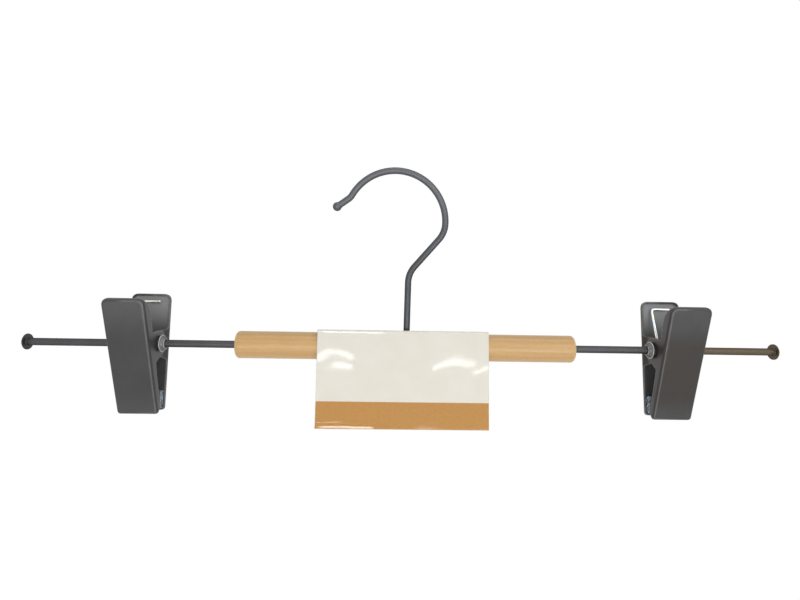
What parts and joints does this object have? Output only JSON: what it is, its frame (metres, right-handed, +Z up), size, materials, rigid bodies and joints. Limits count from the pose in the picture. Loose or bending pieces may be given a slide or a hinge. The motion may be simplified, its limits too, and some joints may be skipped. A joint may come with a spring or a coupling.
{
  "type": "clip hanger",
  "caption": "Trouser hanger: a turned wooden bar on a swivelling wire hook, with a folded card over it and sprung steel clips that slide and swing on the rods at its ends.",
  "frame": {"origin": "inside top of the hook, where it hangs on a rail", "axes": "+X along the bar towards the right clip, -Y to the front, +Z up"},
  "size_m": [0.31, 0.0248, 0.105],
  "materials": {
    "beech": "fine sanded, unvarnished",
    "rod_paint": "satin dark grey coating",
    "black_paint": "matte dark grey paint on pressed sheet",
    "card": "coated, two-tone, unprinted",
    "clear_vinyl": "clear soft grip",
    "pale_nylon": "plain",
    "zinc_wire": "bright zinc",
    "rivet_steel": "plain rolled steel"
  },
  "bodies": {
    "hook": {"hook": "rod_paint"},
    "bar": {"wooden_dowel": "beech", "left_rod": "rod_paint", "right_rod": "rod_paint"},
    "card": {"label_card": "card"},
    "left_slider": {"left_pivot_eyelet": "rivet_steel", "left_friction_sleeve": "pale_nylon"},
    "left_rear": {"left_rear_jaw": "black_paint", "left_rear_pad": "clear_vinyl", "left_spring": "zinc_wire"},
    "left_front": {"left_front_jaw": "black_paint", "left_front_pad": "clear_vinyl"},
    "right_slider": {"right_pivot_eyelet": "rivet_steel", "right_friction_sleeve": "pale_nylon"},
    "right_rear": {"right_rear_jaw": "black_paint", "right_rear_pad": "clear_vinyl", "right_spring": "zinc_wire"},
    "right_front": {"right_front_jaw": "black_paint", "right_front_pad": "clear_vinyl"}
  },
  "joints": [
    {"name": "hook_swivel", "type": "hinge", "parent": "hook", "child": "bar", "pos_m": [0.00533, 0, -0.06967], "axis": [0, 0, 1], "continuous": true},
    {"name": "card_swing", "type": "hinge", "parent": "bar", "child": "card", "pos_m": [0.00533, 0, -0.06967], "axis": [1, 0, 0], "range_deg": [-10, 10]},
    {"name": "left_clip_slide", "type": "slide", "parent": "bar", "child": "left_slider", "axis": [1, 0, 0], "range_m": [-0.0336, 0.0286]},
    {"name": "left_clip_swing", "type": "hinge", "parent": "left_slider", "child": "left_rear", "pos_m": [-0.10312, 0, -0.06967], "axis": [1, 0, 0], "continuous": true},
    {"name": "left_clip_pinch", "type": "hinge", "parent": "left_rear", "child": "left_front", "pos_m": [-0.10312, 0, -0.06967], "axis": [-1, 0, 0], "range_deg": [0, 28], "stiffness_Nm_per_rad": 0.2, "springref_deg": -42.97, "deforming": ["left_spring"]},
    {"name": "right_clip_slide", "type": "slide", "parent": "bar", "child": "right_slider", "axis": [1, 0, 0], "range_m": [-0.0306, 0.0316]},
    {"name": "right_clip_swing", "type": "hinge", "parent": "right_slider", "child": "right_rear", "pos_m": [0.11578, 0, -0.06967], "axis": [1, 0, 0], "continuous": true},
    {"name": "right_clip_pinch", "type": "hinge", "parent": "right_rear", "child": "right_front", "pos_m": [0.11578, 0, -0.06967], "axis": [-1, 0, 0], "range_deg": [0, 28], "stiffness_Nm_per_rad": 0.2, "springref_deg": -42.97, "deforming": ["right_spring"]}
  ]
}
